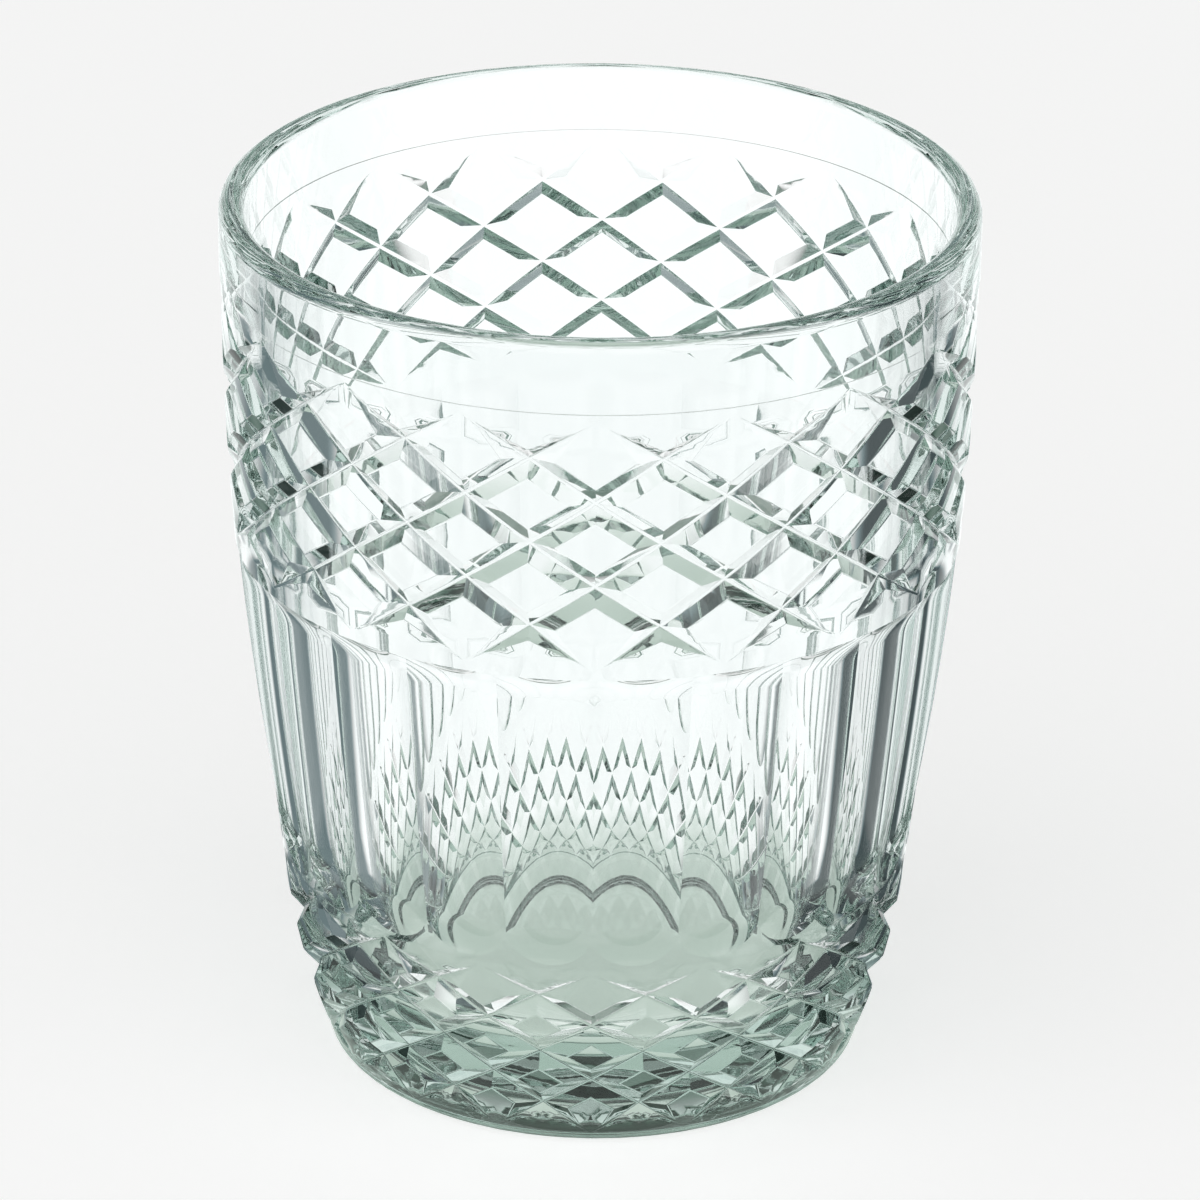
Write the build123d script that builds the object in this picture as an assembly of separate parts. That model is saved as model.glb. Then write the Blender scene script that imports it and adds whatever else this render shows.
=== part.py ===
from build123d import *
import os
from math import cos, hypot, pi, sin, sqrt

# Whiskey tumbler in pressed glass, one piece, in millimetres with +Z up.
# The origin is the centre of the ring that the glass stands on, and a column of lattice crossings faces -Y.
# From the foot up: a belt of small raised diamonds, a belt of hollow flutes, a belt of larger diamonds
# and a plain lip.

# Overall sizes
height = 100.0
body_radius = 41.2  # the widest place, on the plain lip
foot_taper = 11.2  # how much narrower the glass is above its rounded foot
wall_at_lip = 2.8
floor_thickness = 11.0

# Outer side: straight at the lip, then one long curve, then a rounder heel down to the foot
side_curve_start = 90.0  # height under which the wall curves in
side_curve_radius = 370.0
heel_height = 24.0
heel_bulge = 0.9  # how far the heel stands out from a straight cone
foot_round = 1.2
lip_step = 0.15  # the plain lip is this much proud of the diamonds
lip_step_rise = 0.7  # from the top of the diamonds to the step

# Inside
inner_foot_flare = 1.0  # how much wider the inside is at the floor than the foot, before rounding
inner_bulge = 1.0
floor_corner_radius = 6.0

# Underside: a shallow hollow leaves a ring to stand on
hollow_depth = 1.6
ring_width = 5.5
hollow_slope = 2.5  # width of the slope from the ring up into the hollow

# Diamond belts: V grooves cross on a lattice, and the diamonds between them keep a flat middle
diamonds_round = 18
upper_lattice_top = 91.2
upper_row = 4.86  # height of half a diamond
upper_rows = 6
upper_groove_depth = 1.1
upper_bevel_share = 0.39  # share of a diamond's half width that its bevel takes
lower_lattice_top = 23.7
lower_row = 3.75
lower_rows = 6
lower_groove_depth = 1.25
lower_bevel_share = 0.52

# Flutes
flute_count = 24
flute_radius = 14.8
flute_end_depth = 1.0
flute_top = 61.0
flute_bottom = 24.6

# Clearances of the cutting tools, which leave no mark on the glass
skin_clearance = 0.25  # how far a groove cutter stands off the faces that it spares
cutter_reach = 8.0


class Bow:
    """An arc between two points of the section, bowed out by a given rise, and its radius at any height."""

    def __init__(self, low, high, rise):
        chord = hypot(high[0] - low[0], high[1] - low[1])
        across = ((high[1] - low[1]) / chord, -(high[0] - low[0]) / chord)
        middle = ((low[0] + high[0]) / 2, (low[1] + high[1]) / 2)
        self.radius = (chord * chord / 4 + rise * rise) / (2 * rise)
        self.low = low
        self.high = high
        self.crown = (middle[0] + across[0] * rise, middle[1] + across[1] * rise)
        self.centre = (self.crown[0] - across[0] * self.radius, self.crown[1] - across[1] * self.radius)

    def at(self, z):
        return self.centre[0] + sqrt(self.radius**2 - (z - self.centre[1]) ** 2)

    def edge(self):
        return ThreePointArc(self.low, self.crown, self.high)


# The radii that follow from the lip's: the faces of the diamonds and flutes, then the foot's, outside in
face_radius = body_radius - lip_step
foot_radius = body_radius - foot_taper
inner_foot_radius = foot_radius + inner_foot_flare
ring_inner_radius = foot_radius - ring_width
hollow_radius = ring_inner_radius - hollow_slope


def side_at(z):
    drop = max(side_curve_start - z, 0.0)
    return face_radius - side_curve_radius + sqrt(side_curve_radius**2 - drop**2)


heel = Bow((foot_radius, foot_round), (side_at(heel_height), heel_height), heel_bulge)
lip_radius = wall_at_lip / 2
lip_centre = height - lip_radius
inside = Bow((inner_foot_radius, floor_thickness), (body_radius - wall_at_lip, lip_centre), inner_bulge)


def outer_at(z):
    return heel.at(z) if z < heel_height else side_at(z)


def build_body():
    """The turned shape, with no belts on it."""
    lip_step_height = upper_lattice_top + lip_step_rise
    side_middle = (heel_height + side_curve_start) / 2
    with BuildPart() as body:
        with BuildSketch(Plane.XZ) as section:
            with BuildLine():
                Polyline(
                    (0, floor_thickness),
                    (0, hollow_depth),
                    (hollow_radius, hollow_depth),
                    (ring_inner_radius, 0),
                    (foot_radius - foot_round, 0),
                )
                RadiusArc((foot_radius - foot_round, 0), (foot_radius, foot_round), -foot_round)
                heel.edge()
                ThreePointArc(
                    (side_at(heel_height), heel_height),
                    (side_at(side_middle), side_middle),
                    (face_radius, side_curve_start),
                )
                Polyline(
                    (face_radius, side_curve_start),
                    (face_radius, lip_step_height),
                    (body_radius, lip_step_height + lip_step),
                    (body_radius, lip_centre),
                )
                ThreePointArc(
                    (body_radius, lip_centre),
                    (body_radius - lip_radius, height),
                    (body_radius - wall_at_lip, lip_centre),
                )
                inside.edge()
                Line((inner_foot_radius, floor_thickness), (0, floor_thickness))
            make_face()
            corners = section.vertices()
            floor_corner = corners.sort_by_distance((inner_foot_radius, 0, floor_thickness))[0]
            fillet(floor_corner, floor_corner_radius)
        revolve(axis=Axis.Z)
    return body.part


def build_flute_cutter():
    """A round-ended bar, leaning with the wall, for the flute that faces -Y."""
    end_reach = sqrt(2 * flute_radius * flute_end_depth)
    low_z = flute_bottom + end_reach
    high_z = flute_top - end_reach
    low = Vector(0, -(outer_at(low_z) - flute_end_depth + flute_radius), low_z)
    high = Vector(0, -(outer_at(high_z) - flute_end_depth + flute_radius), high_z)
    length = (high - low).length
    with BuildPart(Plane(origin=low, z_dir=high - low)) as cutter:
        Cylinder(flute_radius, length, align=(Align.CENTER, Align.CENTER, Align.MIN))
        Sphere(flute_radius)
        with Locations((0, 0, length)):
            Sphere(flute_radius)
    return cutter.part


class Lattice:
    """The cutter for one belt of V grooves: a ring whose inner side follows the grooves and clears the faces.

    A node (k, j) is k half diamonds round from -Y and j rows down from the belt's top. Grooves cross where
    k + j is even, and a diamond is centred where k + j is odd. The depth runs out at the first and last rows.
    """

    def __init__(self, top, row, rows, depth, bevel_share):
        self.top = top
        self.row = row
        self.rows = rows
        self.depth = depth
        self.inset = bevel_share * (depth + skin_clearance) / depth
        self.reach = max(outer_at(top), outer_at(top - row * rows)) + cutter_reach

    def point(self, k, j, radius=None, stand_off=0.0):
        z = self.top - self.row * j
        spread = outer_at(z) + stand_off if radius is None else radius
        turn = pi * k / diamonds_round
        return (spread * sin(turn), -spread * cos(turn), z)

    def runs_out(self, j):
        return j in (0, self.rows)

    def crossing(self, k, j):
        return self.point(k, j, stand_off=skin_clearance if self.runs_out(j) else -self.depth)

    def face_corner(self, k, j, dk, dj):
        """The corner of the flat middle of diamond (k, j) that looks towards (k + dk, j + dj)."""
        if self.runs_out(j + dj):
            return self.crossing(k + dk, j + dj)
        keep = 1 - self.inset
        return self.point(k + dk * keep, j + dj * keep, stand_off=skin_clearance)

    def diamond(self, k, j):
        steps = ((0, -1), (1, 0), (0, 1), (-1, 0))
        faces = [self.face_corner(k, j, dk, dj) for dk, dj in steps]
        grooves = [self.crossing(k + dk, j + dj) for dk, dj in steps]
        top, right, bottom, left = faces
        yield (top, right, bottom)
        yield (top, bottom, left)
        for here in range(4):
            after = (here + 1) % 4
            if grooves[here] != faces[here]:
                yield (grooves[here], grooves[after], faces[here])
            if grooves[after] != faces[after]:
                yield (faces[here], grooves[after], faces[after])

    def half_diamond(self, k, j):
        inward = 1 if j == 0 else -1
        middle = self.point(k, j, stand_off=skin_clearance)
        tip = self.face_corner(k, j, 0, inward)
        groove = self.crossing(k, j + inward)
        for side in (-1, 1):
            corner = self.crossing(k + side, j)
            yield (middle, corner, tip)
            yield (corner, groove, tip)

    def rim(self, j):
        """The outer rings of the cutter at one of its ends."""
        inner = [self.point(k, j, stand_off=skin_clearance) for k in range(2 * diamonds_round)]
        outer = [self.point(k, j, radius=self.reach) for k in range(2 * diamonds_round)]
        return inner, outer

    def polygons(self):
        around = range(2 * diamonds_round)
        for j in range(self.rows + 1):
            for k in around:
                if (k + j) % 2:
                    yield from self.half_diamond(k, j) if self.runs_out(j) else self.diamond(k, j)
        top_inner, top_outer = self.rim(0)
        low_inner, low_outer = self.rim(self.rows)
        for k in around:
            n = (k + 1) % len(around)
            yield (top_inner[k], top_inner[n], top_outer[n], top_outer[k])
            yield (low_inner[k], low_inner[n], low_outer[n], low_outer[k])
            yield (top_outer[k], top_outer[n], low_outer[n], low_outer[k])

    def cutter(self):
        return Solid(Shell([Face(Wire.make_polygon(corners)) for corners in self.polygons()]))


def build_tumbler():
    glass = build_body()
    flute_pitch = 360 / flute_count
    bar = build_flute_cutter()
    glass -= [bar.rotate(Axis.Z, (n + 0.5) * flute_pitch) for n in range(flute_count)]
    upper = Lattice(upper_lattice_top, upper_row, upper_rows, upper_groove_depth, upper_bevel_share)
    lower = Lattice(lower_lattice_top, lower_row, lower_rows, lower_groove_depth, lower_bevel_share)
    glass -= upper.cutter()
    glass -= lower.cutter()
    return glass


os.makedirs("parts", exist_ok=True)
export_step(build_tumbler(), "parts/glass_body.step")
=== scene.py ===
import bpy
import numpy as np
from mathutils import Matrix, Vector


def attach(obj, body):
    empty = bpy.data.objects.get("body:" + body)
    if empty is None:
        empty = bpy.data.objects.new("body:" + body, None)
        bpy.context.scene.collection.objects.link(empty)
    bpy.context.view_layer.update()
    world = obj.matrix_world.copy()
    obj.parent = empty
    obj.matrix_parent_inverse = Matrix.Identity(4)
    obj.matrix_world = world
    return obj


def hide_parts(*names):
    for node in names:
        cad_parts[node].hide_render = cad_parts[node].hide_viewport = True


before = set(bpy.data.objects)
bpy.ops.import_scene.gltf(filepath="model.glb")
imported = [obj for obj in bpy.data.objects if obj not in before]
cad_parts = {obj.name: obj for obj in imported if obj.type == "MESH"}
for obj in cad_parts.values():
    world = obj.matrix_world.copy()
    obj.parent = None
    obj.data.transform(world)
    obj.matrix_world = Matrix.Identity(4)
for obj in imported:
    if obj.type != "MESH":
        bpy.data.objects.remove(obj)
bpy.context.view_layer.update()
print("frame loaded")

mm = 0.001

# the sizes of the glass, in millimetres
glassSizes = {
    "height": 100.0,
    "bodyRadius": 41.2,
    "footRadius": 30.0,
    "lipWall": 2.8,
    "floorThickness": 11.0,
    "sideCurveStart": 90.0,     # the wall is straight above this height
    "sideCurveRadius": 370.0,
    "heelHeight": 24.0,
    "heelBulge": 0.9,
    "footRound": 1.2,
    "lipStep": 0.15,            # the lip stands proud of the diamonds
    "lipStepHeight": 91.95,
    "lipStepSoft": 0.22,
    "innerBulge": 1.0,
    "innerFootRadius": 31.0,
    "floorCorner": 6.0,
    "hollowDepth": 1.6,
    "hollowRadius": 21.5,
    "ringInnerRadius": 25.0,
    "lipRingsFrom": 93.5,       # evenly spaced rings of points run from here up to the round edge
}

# the belt of large diamonds under the lip
upperDiamonds = {
    "round": 18, "top": 91.2, "row": 4.86, "rows": 6, "depth": 1.1,
    "bevel": 0.39,              # share of half a diamond that its bevel takes
    "grooveRound": 0.056,       # share that the round bottom of the groove takes
    "edgeSoft": 0.08,           # softness of the top edge, as a share of the depth
    "fade": 0.22,               # rows at each end with no groove yet
}

# the belt of small diamonds round the heel
lowerDiamonds = {
    "round": 18, "top": 23.7, "row": 3.75, "rows": 6, "depth": 1.25,
    "bevel": 0.52, "grooveRound": 0.066, "edgeSoft": 0.08, "fade": 0.2,
}

flutes = {
    "count": 24,
    "radius": 14.8,
    "top": 61.0,
    "topRun": 3.0,              # height over which a flute runs out at its top
    "bottom": 24.6,
    "bottomRadius": 9.2,
    "ridgeDrop": 0.08,          # how far the ridges lie under the faces of the diamonds
    "columns": 12,              # columns of points in each flute
    "landAbove": 0.25,          # plain glass above the flutes
    "landBelow": 0.35,
}


class Bow:
    # an arc between two points of the section, bowed outward by a given rise
    def __init__(self, low, high, rise):
        low, high = np.array(low), np.array(high)
        along = high - low
        chord = np.hypot(*along)
        across = np.array([along[1], -along[0]]) / chord
        self.radius = (chord * chord / 4 + rise * rise) / (2 * rise)
        self.centre = (low + high) / 2 + across * (rise - self.radius)

    def at(self, z):
        return self.centre[0] + np.sqrt(self.radius ** 2 - (z - self.centre[1]) ** 2)


faceRadius = glassSizes["bodyRadius"] - glassSizes["lipStep"]


def sideAt(z):
    drop = np.maximum(glassSizes["sideCurveStart"] - z, 0.0)
    bend = glassSizes["sideCurveRadius"]
    return faceRadius - bend + np.sqrt(bend ** 2 - drop ** 2)


heel = Bow((glassSizes["footRadius"], glassSizes["footRound"]),
           (sideAt(glassSizes["heelHeight"]), glassSizes["heelHeight"]), glassSizes["heelBulge"])
lipRadius = glassSizes["lipWall"] / 2
lipCentre = glassSizes["height"] - lipRadius
inner = Bow((glassSizes["innerFootRadius"], glassSizes["floorThickness"]),
            (glassSizes["bodyRadius"] - glassSizes["lipWall"], lipCentre), glassSizes["innerBulge"])


def smoothStep(x):
    x = np.clip(x, 0.0, 1.0)
    return x * x * (3 - 2 * x)


def faceAt(z):
    top = glassSizes["heelHeight"]
    plain = np.where(z < top, heel.at(np.minimum(z, top)), sideAt(z))
    lift = (z - glassSizes["lipStepHeight"]) / glassSizes["lipStepSoft"] + 0.5
    return plain + glassSizes["lipStep"] * smoothStep(lift)


def grooveDepth(belt, theta, z):
    # how deep the V grooves of one belt of diamonds are cut, in millimetres
    u = theta * belt["round"] / np.pi
    v = (belt["top"] - z) / belt["row"]
    full = np.clip((np.minimum(v, belt["rows"] - v) - belt["fade"]) / (1 - belt["fade"]), 0.0, 1.0)
    cut = np.zeros_like(full)
    for line in ((u + v) / 2, (v - u) / 2):
        share = 2 * np.abs(line - np.round(line))
        low = belt["grooveRound"]
        share = np.where(share < low, share * share / (2 * low), share - low / 2)
        below = full - share / belt["bevel"]
        soft = belt["edgeSoft"] * np.clip(full * 4, 0.05, 1.0)
        rounded = (below + soft) ** 2 / (4 * soft)
        below = np.where(np.abs(below) < soft, rounded, np.maximum(below, 0.0))
        cut = np.maximum(cut, below)
    inside = (v > 0) & (v < belt["rows"])
    return np.where(inside, cut * belt["depth"], 0.0)


def fluteShape(theta, z):
    # lateral place in the flute, half its width, its curvature and its depth on the centre line
    pitch = 2 * np.pi / flutes["count"]
    radius = faceAt(z)
    off = (theta / pitch - np.floor(theta / pitch) - 0.5) * pitch * radius
    half = 0.5 * pitch * radius
    bend = 0.5 / flutes["radius"] + 0.5 / radius
    return off, half, bend, flutes["ridgeDrop"] + bend * half ** 2


def fluteEnd():
    # the height at which a flute's round bottom starts
    z = flutes["bottom"]
    deep = fluteShape(np.array(0.5), np.array(z))[3]
    return z + np.sqrt(2 * flutes["bottomRadius"] * deep)


fluteEndHeight = fluteEnd()


def fluteDepth(theta, z):
    off, half, bend, deep = fluteShape(theta, z)
    drop = np.maximum(fluteEndHeight - z, 0.0)
    cut = deep - bend * off ** 2 - drop ** 2 / (2 * flutes["bottomRadius"])
    rise = np.clip((z - flutes["top"] + flutes["topRun"]) / flutes["topRun"], 0.0, 1.0)
    return np.maximum(cut, 0.0) * (1 - rise ** 2)


def outerAt(theta, z):
    return (faceAt(z) - grooveDepth(upperDiamonds, theta, z) - grooveDepth(lowerDiamonds, theta, z)
            - fluteDepth(theta, z))


def outerPoint(theta, z):
    radius = outerAt(theta, z)
    return np.stack([radius * np.sin(theta), -radius * np.cos(theta), z], -1)


class Skin:
    # collects points and faces, with a normal for each corner taken from the surface just inside its face
    def __init__(self):
        self.points = []
        self.count = 0
        self.faces = []
        self.normals = []

    def addPoints(self, points):
        start = self.count
        self.points.append(points)
        self.count += len(points)
        return np.arange(start, self.count)

    def addFaces(self, corners, params, surface, side=1):
        # corners: faces x sides indices; params: faces x sides x 2
        # side: -1 when the glass is on the other side
        inward = params * 0.96 + params.mean(axis=1, keepdims=True) * 0.04
        step = 1e-4             # small enough for a slope, in turns of the section or in millimetres
        p, q = inward[..., 0], inward[..., 1]
        alongP = surface(p + step, q) - surface(p - step, q)
        alongQ = surface(p, q + step) - surface(p, q - step)
        normal = np.cross(alongP, alongQ) * side
        normal /= np.maximum(np.linalg.norm(normal, axis=-1, keepdims=True), 1e-20)
        p, q = params[..., 0], params[..., 1]
        area = (p * np.roll(q, -1, axis=1) - np.roll(p, -1, axis=1) * q).sum(axis=1) * side
        corners = np.where(area[:, None] < 0, corners[:, ::-1], corners)
        normal = np.where(area[:, None, None] < 0, normal[:, ::-1], normal)
        self.faces.append(corners)
        self.normals.append(normal)

    def addGrid(self, rows, params, surface, side=1):
        # rows: a list of rings of indices, closed round; params: rings x columns x 2
        rows = np.array(rows)
        after = np.roll(rows, -1, axis=1)
        nextParams = np.roll(params, -1, axis=1).copy()
        nextParams[:, -1, 0] += 2 * np.pi
        corners = np.stack([rows[:-1], rows[1:], after[1:], after[:-1]], -1).reshape(-1, 4)
        places = np.stack([params[:-1], params[1:], nextParams[1:], nextParams[:-1]], -2).reshape(-1, 4, 2)
        self.addFaces(corners, places, surface, side)

    def addZip(self, high, highParams, low, lowParams, surface):
        # joins two rings whose points don't line up
        i = j = 0
        corners, places = [], []
        m, n = len(high), len(low)

        def place(ring, k):
            turn = 2 * np.pi * (k // len(ring))
            return (ring[k % len(ring)][0] + turn, ring[k % len(ring)][1])

        while i < m or j < n:
            moveHigh = j >= n or (i < m and place(highParams, i + 1)[0] <= place(lowParams, j + 1)[0])
            if moveHigh:
                corners.append((high[i % m], low[j % n], high[(i + 1) % m]))
                places.append((place(highParams, i), place(lowParams, j), place(highParams, i + 1)))
                i += 1
            else:
                corners.append((high[i % m], low[j % n], low[(j + 1) % n]))
                places.append((place(highParams, i), place(lowParams, j), place(lowParams, j + 1)))
                j += 1
        self.addFaces(np.array(corners), np.array(places), surface)

    def build(self, name):
        points = np.concatenate(self.points) * mm
        mesh = bpy.data.meshes.new(name)
        loops = np.concatenate([f.reshape(-1) for f in self.faces])
        sides = np.concatenate([np.full(len(f), f.shape[1]) for f in self.faces])
        starts = np.concatenate([[0], np.cumsum(sides)[:-1]])
        mesh.vertices.add(len(points))
        mesh.vertices.foreach_set("co", points.astype(np.float32).reshape(-1))
        mesh.loops.add(len(loops))
        mesh.loops.foreach_set("vertex_index", loops.astype(np.int32))
        mesh.polygons.add(len(sides))
        mesh.polygons.foreach_set("loop_start", starts.astype(np.int32))
        mesh.update(calc_edges=True)
        mesh.validate()
        mesh.shade_smooth()
        normals = np.concatenate([n.reshape(-1, 3) for n in self.normals])
        mesh.normals_split_custom_set(normals.astype(np.float32))
        return mesh


def cellLines(belt):
    # where the grid lines fall across one diamond, as shares of its width
    edge, soft, low = belt["bevel"] / 2, belt["bevel"] * belt["edgeSoft"] / 2, belt["grooveRound"] / 2
    edge += low / 2
    half = [0.0, low / 2, low, edge - soft, edge, edge + soft, (edge + soft + 0.5) / 2 + 0.01, 0.5]
    return np.array(half + [1 - x for x in half[-2::-1]])


def squeeze(belt, a, b):
    # draws the grid lines in towards a groove where it runs out
    edge = cellLines(belt)[5]
    newA, newB = a, b
    for repeat in range(4):
        v = newA + newB
        run = np.clip((np.minimum(v, belt["rows"] - v) - belt["fade"]) / (1 - belt["fade"]), 0.15, 1.0)
        moved = []
        for line in (a, b):
            near = np.round(line)
            off = np.abs(line - near)
            beyond = edge * run + (off - edge) * (0.5 - edge * run) / (0.5 - edge)
            drawn = np.where(off <= edge, off * run, beyond)
            moved.append(near + np.sign(line - near) * drawn)
        newA, newB = moved
    return newA, newB


def addLattice(skin, belt):
    # returns the belt's top and bottom rings, as indices and places
    lines = cellLines(belt)
    n, rows, around = len(lines) - 1, belt["rows"], 2 * belt["round"]
    quads, threes = [], []
    for vc in range(rows + 1):
        for uc in range(around):
            if (uc + vc) % 2 == 0:
                continue
            i, j = (uc + vc - 1) // 2, (vc - 1 - uc) // 2
            for p in range(n):
                for q in range(n):
                    c = [(i * n + p, j * n + q), (i * n + p + 1, j * n + q),
                         (i * n + p + 1, j * n + q + 1), (i * n + p, j * n + q + 1)]
                    high, low = vc == 0, vc == rows
                    if (high and p + q < n - 1) or (low and p + q > n - 1):
                        continue
                    if p + q == n - 1:
                        if not high:
                            threes.append((c[0], c[1], c[3]))
                        if not low:
                            threes.append((c[1], c[2], c[3]))
                    elif p == q:
                        threes.append((c[0], c[1], c[2]))
                        threes.append((c[0], c[2], c[3]))
                    else:
                        quads.append(c)
    quads, threes = np.array(quads), np.array(threes)

    def places(grid):
        whole, part = np.floor_divide(grid, n), np.mod(grid, n)
        a, b = squeeze(belt, *(np.moveaxis(whole + lines[part], -1, 0)))
        return np.stack([(a - b) * np.pi / belt["round"], belt["top"] - (a + b) * belt["row"]], -1)

    def keys(grid):
        return np.mod(grid[..., 0] - grid[..., 1], around * n) * (rows * n + 1) + grid[..., 0] + grid[..., 1]

    allKeys = np.concatenate([keys(quads).reshape(-1), keys(threes).reshape(-1)])
    allPlaces = np.concatenate([places(quads).reshape(-1, 2), places(threes).reshape(-1, 2)])
    unique, first, back = np.unique(allKeys, return_index=True, return_inverse=True)
    spots = allPlaces[first]
    indices = skin.addPoints(outerPoint(spots[:, 0], spots[:, 1]))
    back = indices[back.reshape(-1)]
    cut = quads.shape[0] * 4
    skin.addFaces(back[:cut].reshape(-1, 4), places(quads), outerPoint)
    skin.addFaces(back[cut:].reshape(-1, 3), places(threes), outerPoint)
    level = unique % (rows * n + 1)
    rings = []
    for edge in (0, rows * n):
        picked = np.nonzero(level == edge)[0]
        turn = np.mod(spots[picked, 0] + 1e-9, 2 * np.pi) - 1e-9
        order = np.argsort(turn)
        rings.append((indices[picked[order]], np.stack([turn[order], spots[picked[order], 1]], -1)))
    return rings


def addBand(skin, ring, heights, surface):
    # rings below or above a ring, with the same columns; heights are numbers or one list for each column
    indices, params = ring
    rows, places = [indices], [params]
    for z in heights:
        place = np.stack([params[:, 0], np.zeros(len(params)) + z], -1)
        rows.append(skin.addPoints(surface(place[:, 0], place[:, 1])))
        places.append(place)
    skin.addGrid(rows, np.array(places), surface)
    return rows[-1], places[-1]


def turnedSurface(pieces):
    # pieces of the section, each a function from 0..1 to (radius, height); place q runs through them
    def surface(theta, q):
        which = np.clip(np.floor(q), 0, len(pieces) - 1).astype(int)
        radius, height = np.zeros_like(q), np.zeros_like(q)
        for k, piece in enumerate(pieces):
            r, z = piece(q - k)
            radius = np.where(which == k, r, radius)
            height = np.where(which == k, z, height)
        return np.stack([radius * np.sin(theta), -radius * np.cos(theta), height], -1)
    return surface


def addTurned(skin, ring, pieces, steps, side=1):
    # carries a ring on along a turned section, and closes it at the axis
    indices, params = ring
    surface = turnedSurface(pieces)
    qs = np.concatenate([k + np.linspace(0, 1, n + 1)[1:] for k, n in enumerate(steps)])
    rows, places = [indices], [np.stack([params[:, 0], np.zeros(len(params))], -1)]
    for q in qs[:-1]:
        place = np.stack([params[:, 0], np.full(len(params), q)], -1)
        rows.append(skin.addPoints(surface(place[:, 0], place[:, 1])))
        places.append(place)
    skin.addGrid(rows, np.array(places), surface, side)
    centre = skin.addPoints(surface(np.zeros(1), np.full(1, qs[-1])))
    after = np.roll(rows[-1], -1)
    corners = np.stack([rows[-1], np.full(len(after), centre[0]), after], -1)
    turn = np.append(params[1:, 0], params[0, 0] + 2 * np.pi)
    near = np.full(len(turn), qs[-2])
    far = np.full(len(turn), qs[-1] - 0.02)     # just short of the axis, where a slope can still be taken
    place = np.stack([np.stack([params[:, 0], near], -1), np.stack([(params[:, 0] + turn) / 2, far], -1),
                      np.stack([turn, near], -1)], 1)
    skin.addFaces(corners, place, surface, side)


def arcPiece(centre, radius, start, end):
    # angles in radians from +radius towards +height
    def piece(t):
        angle = start + (end - start) * t
        return centre[0] + radius * np.cos(angle), centre[1] + radius * np.sin(angle)
    return piece


def linePiece(start, end):
    def piece(t):
        return start[0] + (end[0] - start[0]) * t, start[1] + (end[1] - start[1]) * t
    return piece


def buildGlass():
    skin = Skin()
    s = glassSizes
    upperTop, upperLow = addLattice(skin, upperDiamonds)
    lowerTop, lowerLow = addLattice(skin, lowerDiamonds)
    print("diamonds made")

    # plain lip, from the diamonds up to the round edge
    stepLow = s["lipStepHeight"] - s["lipStepSoft"] / 2
    heights = list(stepLow + s["lipStepSoft"] * np.linspace(0, 1, 5))
    heights += list(np.linspace(s["lipRingsFrom"], lipCentre, 4))
    lipRing = addBand(skin, upperTop, heights, outerPoint)

    # flutes: the last rows follow the round end of each one
    columns = flutes["count"] * flutes["columns"]
    turn = np.arange(columns) * 2 * np.pi / columns
    top = np.full(columns, flutes["top"] + flutes["landAbove"])
    first = (skin.addPoints(outerPoint(turn, top)), np.stack([turn, top], -1))
    nearEnd = np.full(columns, flutes["bottom"])
    for repeat in range(6):
        off, half, bend, deep = fluteShape(turn + 1e-7, nearEnd)
        drop = np.sqrt(np.maximum(2 * flutes["bottomRadius"] * (deep - bend * off ** 2), 0))
        nearEnd = fluteEndHeight - drop
    run = flutes["topRun"]
    tops = [flutes["top"] - run * x for x in (0.0, 0.1, 0.22, 0.36, 0.52, 0.7, 0.85, 1.0)]
    middles = list(np.linspace(tops[-1], fluteEndHeight, 12))[1:]
    ends = [fluteEndHeight + (nearEnd - fluteEndHeight) * x for x in np.linspace(0, 1, 9)[1:]]
    lands = [nearEnd + (flutes["bottom"] - flutes["landBelow"] - nearEnd) * x for x in (0.5, 1.0)]
    last = addBand(skin, first, tops + middles + ends + lands, outerPoint)
    skin.addZip(upperLow[0], upperLow[1], first[0], first[1], outerPoint)
    skin.addZip(last[0], last[1], lowerTop[0], lowerTop[1], outerPoint)
    print("flutes made")

    # round edge of the lip, inner wall, floor corner and floor
    corner = s["floorCorner"]
    level = s["floorThickness"] + corner
    reach = inner.radius - corner
    cornerRadius = inner.centre[0] + np.sqrt(reach ** 2 - (level - inner.centre[1]) ** 2)
    meet = np.arctan2(level - inner.centre[1], cornerRadius - inner.centre[0])
    startWall = np.arctan2(lipCentre - inner.centre[1], s["bodyRadius"] - s["lipWall"] - inner.centre[0])
    lipMiddle = (s["bodyRadius"] - lipRadius, lipCentre)
    addTurned(skin, lipRing, [
        arcPiece(lipMiddle, lipRadius, 0.0, np.pi),
        arcPiece(inner.centre, inner.radius, startWall, meet),
        arcPiece((cornerRadius, level), corner, meet, -np.pi / 2),
        linePiece((cornerRadius, s["floorThickness"]), (0.0, s["floorThickness"])),
    ], (12, 24, 10, 5))

    # rounded foot, standing ring and the hollow under the floor
    foot = s["footRadius"] - s["footRound"]

    def hollow(t):
        radius = s["ringInnerRadius"] + (s["hollowRadius"] - s["ringInnerRadius"]) * t
        return radius, s["hollowDepth"] * smoothStep(t)

    addTurned(skin, lowerLow, [
        arcPiece((foot, s["footRound"]), s["footRound"], 0.0, -np.pi / 2),
        linePiece((foot, 0.0), (s["ringInnerRadius"], 0.0)),
        hollow,
        linePiece((s["hollowRadius"], s["hollowDepth"]), (0.0, s["hollowDepth"])),
    ], (6, 2, 6, 4), -1)
    return skin.build("glassBody")


glassMesh = buildGlass()
glassBody = bpy.data.objects.new("pressedGlass", glassMesh)
bpy.context.scene.collection.objects.link(glassBody)
print("glass made:", len(glassMesh.polygons), "faces")
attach(glassBody, "root")
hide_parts("glass_body")


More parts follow.
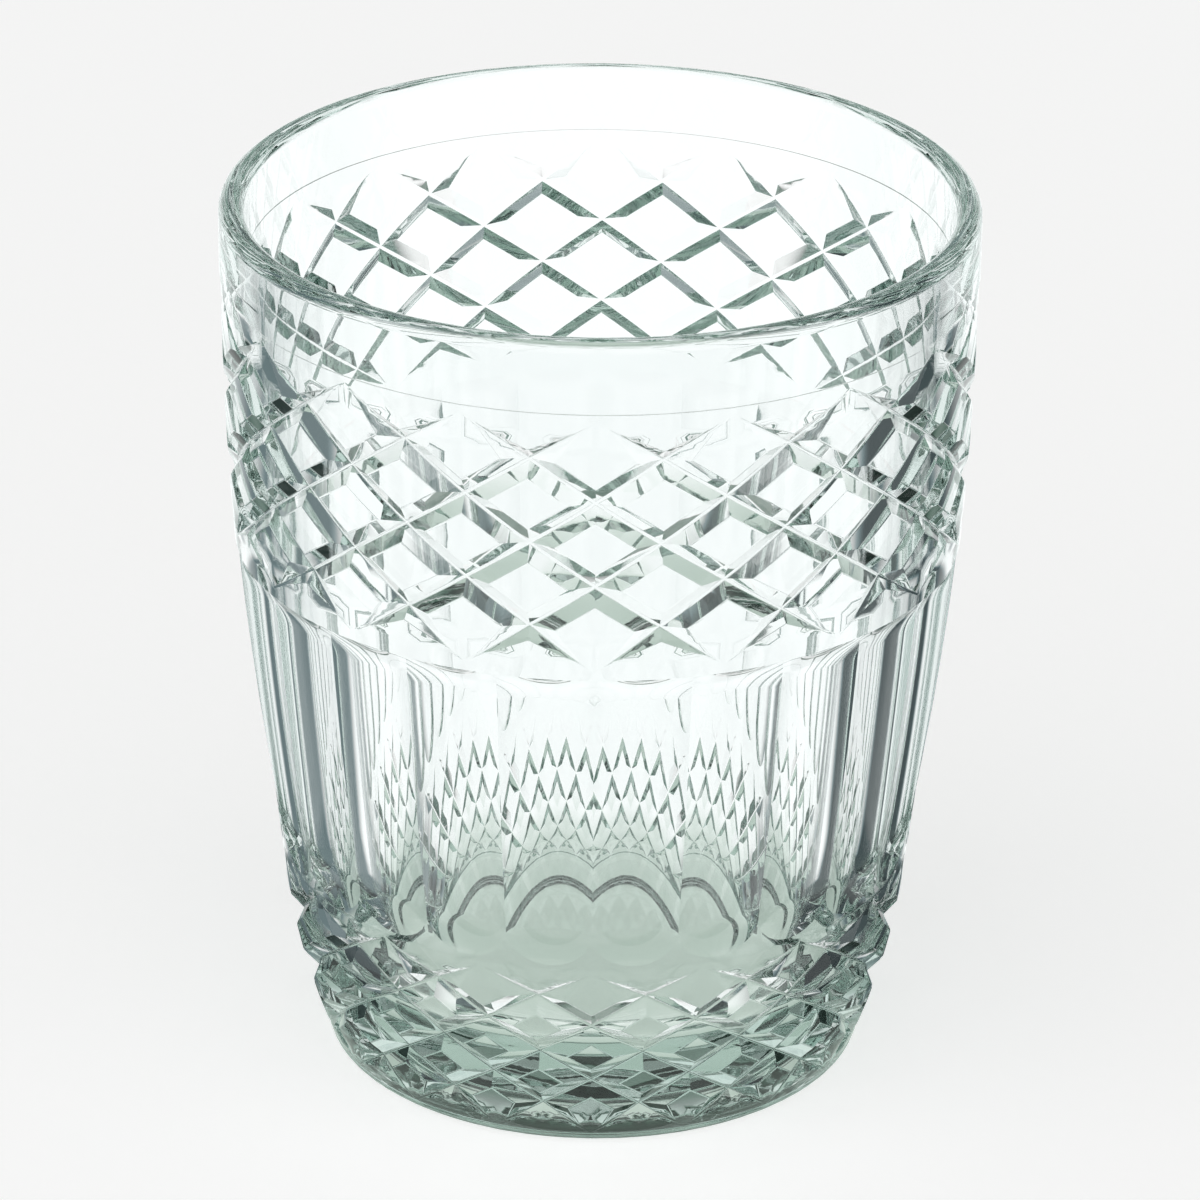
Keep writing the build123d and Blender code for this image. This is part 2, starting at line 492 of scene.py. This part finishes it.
class Flow:
    # a socket that takes part in sums, so that an expression on it adds its Math nodes
    def __init__(self, socket):
        self.socket = socket

    def combine(self, operation, first, second):
        node = self.socket.id_data.nodes.new("ShaderNodeMath")
        node.operation = operation
        for place, value in enumerate((first, second)):
            if isinstance(value, Flow):
                node.id_data.links.new(value.socket, node.inputs[place])
            else:
                node.inputs[place].default_value = value
        return Flow(node.outputs[0])

    def __add__(self, other):
        return self.combine("ADD", self, other)

    def __radd__(self, other):
        return self.combine("ADD", other, self)

    def __sub__(self, other):
        return self.combine("SUBTRACT", self, other)

    def __rsub__(self, other):
        return self.combine("SUBTRACT", other, self)

    def __mul__(self, other):
        return self.combine("MULTIPLY", self, other)

    def __rmul__(self, other):
        return self.combine("MULTIPLY", other, self)

    def most(self, other):
        return self.combine("MAXIMUM", self, other)


def pick(node, key):
    # a socket by its place, or by name among those that are in use
    if isinstance(key, int):
        return node.inputs[key]
    return next(socket for socket in node.inputs if socket.name == key and socket.enabled)


class ShaderTree:
    def __init__(self, owner):
        owner.use_nodes = True
        self.tree = owner.node_tree
        self.tree.nodes.clear()

    def add(self, kind, settings=None, inputs=None):
        # settings are set first, then the values or links of the sockets
        node = self.tree.nodes.new(kind)
        for key, value in (settings or {}).items():
            setattr(node, key, value)
        for key, value in (inputs or {}).items():
            if isinstance(value, Flow):
                self.tree.links.new(value.socket, pick(node, key))
            elif hasattr(value, "is_output"):
                self.tree.links.new(value, pick(node, key))
            else:
                pick(node, key).default_value = value
        return node

    def ramp(self, value, low, high):
        # 0 at low, 1 at high, and a smooth step between them; low may be the larger
        node = self.add("ShaderNodeMapRange", {"interpolation_type": "SMOOTHSTEP"},
                        {"Value": value, "From Min": low, "From Max": high})
        return Flow(node.outputs["Result"])

    def mix(self, share, first, second):
        node = self.add("ShaderNodeMix", {"data_type": "RGBA"}, {"Factor": share, "A": first, "B": second})
        return node.outputs[2]

    def scale(self, color, share):
        node = self.add("ShaderNodeVectorMath", {"operation": "SCALE"}, {0: color, "Scale": share})
        return node.outputs["Vector"]


glassLook = {
    "ior": 1.52,
    "absorbColor": (0.60, 0.72, 0.68, 1.0),
    "absorbDensity": 26.0,          # for each metre of glass
    "waveSize": 0.011,              # metres from one soft wave of the pressed skin to the next
    "waveHeight": 0.000012,
    "grainSize": 0.0016,            # and of its finest unevenness
    "grainHeight": 0.0000012,
    "roughness": 0.0,
}


def makeGlass(look):
    material = bpy.data.materials.new("smokeGreenGlass")
    tree = ShaderTree(material)
    place = tree.add("ShaderNodeTexCoord").outputs["Object"]
    wave = tree.add("ShaderNodeTexNoise", {"noise_dimensions": "3D"},
                    {"Vector": place, "Scale": 1 / look["waveSize"], "Detail": 1.0, "Roughness": 0.4})
    grain = tree.add("ShaderNodeTexNoise", {"noise_dimensions": "3D"},
                     {"Vector": place, "Scale": 1 / look["grainSize"], "Detail": 2.0, "Roughness": 0.5})
    skinHeight = Flow(wave.outputs["Fac"]) * look["waveHeight"]
    skinHeight = skinHeight + Flow(grain.outputs["Fac"]) * look["grainHeight"]
    bump = tree.add("ShaderNodeBump", None, {"Strength": 1.0, "Distance": 1.0, "Height": skinHeight})
    surface = tree.add("ShaderNodeBsdfPrincipled", None, {
        "Base Color": (1.0, 1.0, 1.0, 1.0), "Roughness": look["roughness"], "IOR": look["ior"],
        "Transmission Weight": 1.0, "Normal": bump.outputs["Normal"]})
    inside = tree.add("ShaderNodeVolumeAbsorption", None,
                      {"Color": look["absorbColor"], "Density": look["absorbDensity"]})
    tree.add("ShaderNodeOutputMaterial", None,
             {"Surface": surface.outputs["BSDF"], "Volume": inside.outputs["Volume"]})
    return material


glassMesh.materials.append(makeGlass(glassLook))
print("glass material made")

# the pale paper that the camera sees under the glass
floorLook = {
    "half": 3.0,                            # metres
    "drop": 0.0001,                         # the sheet lies this much under the glass
    "color": (0.90, 0.88, 0.89, 1.0),
    "glowColor": (1.0, 0.985, 0.99, 1.0),
    "glow": 0.575,                          # even light from under the sheet
}


def makeSheet(name, half, z):
    mesh = bpy.data.meshes.new(name)
    corners = [(-half, -half, z), (half, -half, z), (half, half, z), (-half, half, z)]
    mesh.from_pydata(corners, [], [(0, 1, 2, 3)])
    sheet = bpy.data.objects.new(name, mesh)
    bpy.context.scene.collection.objects.link(sheet)
    return sheet


def makeFloor(look):
    floor = makeSheet("studioFloor", look["half"], -look["drop"])
    material = bpy.data.materials.new("palePaper")
    tree = ShaderTree(material)
    surface = tree.add("ShaderNodeBsdfPrincipled", None, {
        "Base Color": look["color"], "Roughness": 1.0, "Specular IOR Level": 0.0,
        "Emission Color": look["glowColor"], "Emission Strength": look["glow"]})
    tree.add("ShaderNodeOutputMaterial", None, {"Surface": surface.outputs["BSDF"]})
    floor.data.materials.append(material)
    floor.visible_transmission = False
    floor.visible_glossy = False


# a lit table that only the glass sees, bright with a dark flag at each side, a darker strip in front and a
# painted shadow right under the glass;
# distances are in metres from the glass's axis, and bearings run from 1 behind the glass to -1 in front
lightTable = {
    "bright": 1.13,
    "least": 0.04,
    "color": (0.97, 1.0, 1.0, 1.0),
    "shade": (0.70, 0.95, 1.0, 1.0),        # the tint of its dark places
    "shadeFrom": (0.6, 0.2),
    "paintedShadowDark": 0.47,                      # painted shadow: how much darker the table is right under the glass
    # the greener tint of the painted shadow under the glass
    "paintedShadowColor": (0.84, 1.0, 0.89, 1.0),
    # distances over which the painted shadow under the glass fades out
    "paintedShadowEdge": (0.015, 0.065),
    "frontDark": 0.72,
    "frontBearing": (-0.45, -0.65),
    "frontEdge": (0.070, 0.095),
    "flagDark": 0.98,
    "flagLean": 0.07,                       # the flag on the right is darker by this share
    "flagFront": (-0.75, -0.55),            # bearings at which a flag starts and ends
    "flagBack": (0.50, 0.72),
    "flagEdge": (0.030, 0.040),
    "flagTurn": 0.60,                       # its front edge turns back by this much further out
    "flagTurnEdge": (0.055, 0.085),
    "flagFade": 0.35,                       # share of it that is lost far out
    "flagFadeEdge": (0.30, 1.6),
}


def makeLightTable(look):
    table = makeSheet("lightTable", floorLook["half"], -floorLook["drop"] * 1.5)
    material = bpy.data.materials.new("lightTable")
    tree = ShaderTree(material)
    place = tree.add("ShaderNodeTexCoord").outputs["Object"]
    away = tree.add("ShaderNodeVectorMath", {"operation": "LENGTH"}, {"Vector": place}).outputs["Value"]
    aim = tree.add("ShaderNodeVectorMath", {"operation": "NORMALIZE"}, {0: place}).outputs["Vector"]
    split = tree.add("ShaderNodeSeparateXYZ", None, {"Vector": aim})
    right, back = Flow(split.outputs["X"]), Flow(split.outputs["Y"])
    # 0 in the painted shadow right under the glass, 1 farther out
    clear = tree.ramp(away, *look["paintedShadowEdge"])
    frontEdge = back - tree.ramp(away, *look["flagTurnEdge"]) * look["flagTurn"]
    flag = tree.ramp(frontEdge, *look["flagFront"]) - tree.ramp(back, *look["flagBack"])
    flag = flag * tree.ramp(away, *look["flagEdge"]) * (1.0 + right * look["flagLean"])
    flag = flag * (1.0 - tree.ramp(away, *look["flagFadeEdge"]) * look["flagFade"])
    front = tree.ramp(back, *look["frontBearing"]) * tree.ramp(away, *look["frontEdge"])
    glow = look["bright"] - front * look["frontDark"] - flag * look["flagDark"]
    # darkens the table's light into a painted shadow right under the glass
    glow = (glow - (1.0 - clear) * look["paintedShadowDark"]).most(look["least"])
    # gives the painted shadow under the glass its own greener tint
    tint = tree.mix(clear, look["paintedShadowColor"], look["color"])
    tint = tree.mix(tree.ramp(glow, *look["shadeFrom"]), tint, look["shade"])
    shine = tree.add("ShaderNodeEmission", None, {"Color": tree.scale(tint, glow), "Strength": 1.0})
    tree.add("ShaderNodeOutputMaterial", None, {"Surface": shine.outputs["Emission"]})
    table.data.materials.append(material)
    table.visible_camera = False
    table.visible_diffuse = False
    table.visible_shadow = False


# the light all round, by height from 0 at eye level to 1 overhead: bright low down, darker overhead,
# darkest high up behind and dim at the sides
wallLight = {
    "least": 0.02,
    "color": (1.0, 1.0, 1.0, 1.0),
    "shade": (0.60, 1.0, 0.78, 1.0),        # the tint of its dark places
    "shadeFrom": (0.5, 0.1),
    "behindLow": 1.08,
    "behindMid": 0.30,
    "behindHigh": 0.03,
    "lowToMid": (0.02, 0.12),
    "midToHigh": (0.26, 0.36),
    "frontLow": 0.85,
    "frontHigh": 0.42,
    "frontRise": (0.40, 0.85),
    "frontToBehind": (-0.35, 0.45),         # bearings, from -1 in front to 1 behind
    "sideDark": 0.72,
    "sideFront": (-0.2, 0.0),
    "sideBack": (0.55, 0.75),
    "sideTop": (0.45, 0.6),
}


def makeWorld(look):
    world = bpy.data.worlds.new("studioLight")
    bpy.context.scene.world = world
    tree = ShaderTree(world)
    direction = tree.add("ShaderNodeTexCoord").outputs["Generated"]
    split = tree.add("ShaderNodeSeparateXYZ", None, {"Vector": direction})
    back, height = split.outputs["Y"], split.outputs["Z"]
    low, mid, high = look["behindLow"], look["behindMid"], look["behindHigh"]
    behind = low - tree.ramp(height, *look["lowToMid"]) * (low - mid)
    behind = behind - tree.ramp(height, *look["midToHigh"]) * (mid - high)
    front = look["frontLow"]
    front = front - tree.ramp(height, *look["frontRise"]) * (front - look["frontHigh"])
    turn = tree.ramp(back, *look["frontToBehind"])
    side = tree.ramp(back, *look["sideFront"]) - tree.ramp(back, *look["sideBack"])
    side = side * (1.0 - tree.ramp(height, *look["sideTop"]))
    glow = (behind * turn + front * (1.0 - turn) - side * look["sideDark"]).most(look["least"])
    tint = tree.mix(tree.ramp(glow, *look["shadeFrom"]), look["color"], look["shade"])
    shade = tree.add("ShaderNodeBackground", None, {"Color": tree.scale(tint, glow), "Strength": 1.0})
    tree.add("ShaderNodeOutputWorld", None, {"Surface": shade.outputs["Background"]})


shadowLight = {
    "from": (-0.45, -0.35, 1.0),
    "energy": 0.25,
    "spread": 1.4,              # radians across
}


def makeShadowLight(look):
    # a wide soft light that gives the floor its shadow and isn't seen in the glass
    data = bpy.data.lights.new("shadowLight", "SUN")
    data.energy, data.angle = look["energy"], look["spread"]
    light = bpy.data.objects.new("shadowLight", data)
    light.rotation_mode = "QUATERNION"
    light.rotation_quaternion = Vector(look["from"]).to_track_quat("Z", "Y")
    light.visible_transmission = False
    light.visible_glossy = False
    bpy.context.scene.collection.objects.link(light)


cameraPlace = {
    "aim": (0.0, 0.0, 0.0518),  # metres
    "distance": 0.7845,
    "azimuth": 0.29,            # degrees, as are the next two
    "elevation": 25.02,
    "roll": 0.522,
    "lens": 212.7,              # millimetres
    "sensor": 36.0,
    "shiftX": 0.0026,
}


def makeCamera(place):
    data = bpy.data.cameras.new("studioCamera")
    data.sensor_width, data.lens, data.shift_x = place["sensor"], place["lens"], place["shiftX"]
    data.clip_start, data.clip_end = 0.01, 50.0
    camera = bpy.data.objects.new("studioCamera", data)
    bpy.context.scene.collection.objects.link(camera)
    turn, lift = np.radians(place["azimuth"]), np.radians(place["elevation"])
    back = Vector((np.sin(turn) * np.cos(lift), -np.cos(turn) * np.cos(lift), np.sin(lift)))
    camera.location = Vector(place["aim"]) + back * place["distance"]
    camera.rotation_mode = "QUATERNION"
    roll = Matrix.Rotation(np.radians(place["roll"]), 3, "Z").to_quaternion()
    camera.rotation_quaternion = (-back).to_track_quat("-Z", "Y") @ roll
    bpy.context.scene.camera = camera


makeFloor(floorLook)
makeLightTable(lightTable)
makeWorld(wallLight)
makeShadowLight(shadowLight)
makeCamera(cameraPlace)
scene = bpy.context.scene
scene.view_settings.view_transform = "Standard"
scene.view_settings.look = "None"
cycles = scene.cycles
cycles.max_bounces = cycles.transmission_bounces = cycles.glossy_bounces = 32     # light crosses many facets
cycles.diffuse_bounces = 4
cycles.caustics_refractive = cycles.caustics_reflective = True
cycles.sample_clamp_indirect = 4.0
cycles.blur_glossy = 0.0
print("studio made")
